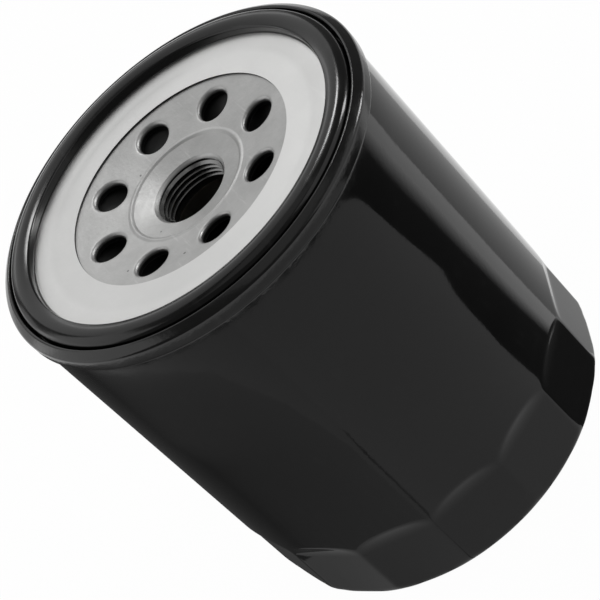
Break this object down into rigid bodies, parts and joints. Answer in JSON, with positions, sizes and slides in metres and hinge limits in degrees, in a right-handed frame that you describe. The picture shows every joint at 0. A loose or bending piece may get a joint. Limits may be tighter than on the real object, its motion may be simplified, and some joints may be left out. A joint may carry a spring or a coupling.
{
  "type": "spin-on oil filter",
  "caption": "Spin-on oil filter: black drawn canister with wrench flats, rolled seam, sealing gasket and plated threaded plate with inlet holes, pleated element and bypass valve inside.",
  "frame": {"origin": "on the axis, in the plane of the foot at the closed end", "axes": "+Z along the axis from the closed end to the threaded plate; +X through the middle of a wrench flat"},
  "size_m": [0.1103, 0.1104, 0.1196],
  "materials": {
    "black_paint": "gloss black baked paint on drawn steel",
    "plated_lid": "satin tin-plated sheet",
    "plated_plate": "matt zinc-plated pressing",
    "gasket_rubber": "oiled black nitrile rubber",
    "valve_rubber": "matt dark nitrile rubber",
    "sealant": "cured seaming compound",
    "tinned_cap": "thin tin-plated sheet",
    "potting": "cured plastisol adhesive",
    "filter_paper": "resin-cured pleated paper",
    "tube_steel": "perforated plain sheet",
    "valve_steel": "pressed zinc-plated steel",
    "spring_steel": "oiled spring steel"
  },
  "bodies": {
    "filter": {"canister": "black_paint", "seaming_lid": "plated_lid", "seam_sealant": "sealant", "base_plate": "plated_plate", "gasket": "gasket_rubber", "anti_drain_valve": "valve_rubber", "top_end_cap": "tinned_cap", "top_adhesive": "potting", "pleated_media": "filter_paper", "media_seam_clip": "tinned_cap", "centre_tube": "tube_steel", "bottom_adhesive": "potting", "bottom_end_cap": "tinned_cap", "bypass_seat": "valve_steel", "bypass_cage": "valve_steel", "element_spring": "spring_steel"},
    "bypass_valve": {"bypass_seal": "valve_rubber", "bypass_disc": "valve_steel", "bypass_pin": "valve_steel", "bypass_spring": "spring_steel"}
  },
  "joints": [
    {"name": "bypass_lift", "type": "slide", "parent": "filter", "child": "bypass_valve", "axis": [0, 0, 1], "range_m": [0, 0.004], "stiffness_N_per_m": 2300, "springref_m": -0.0005, "deforming": ["bypass_spring"]}
  ]
}
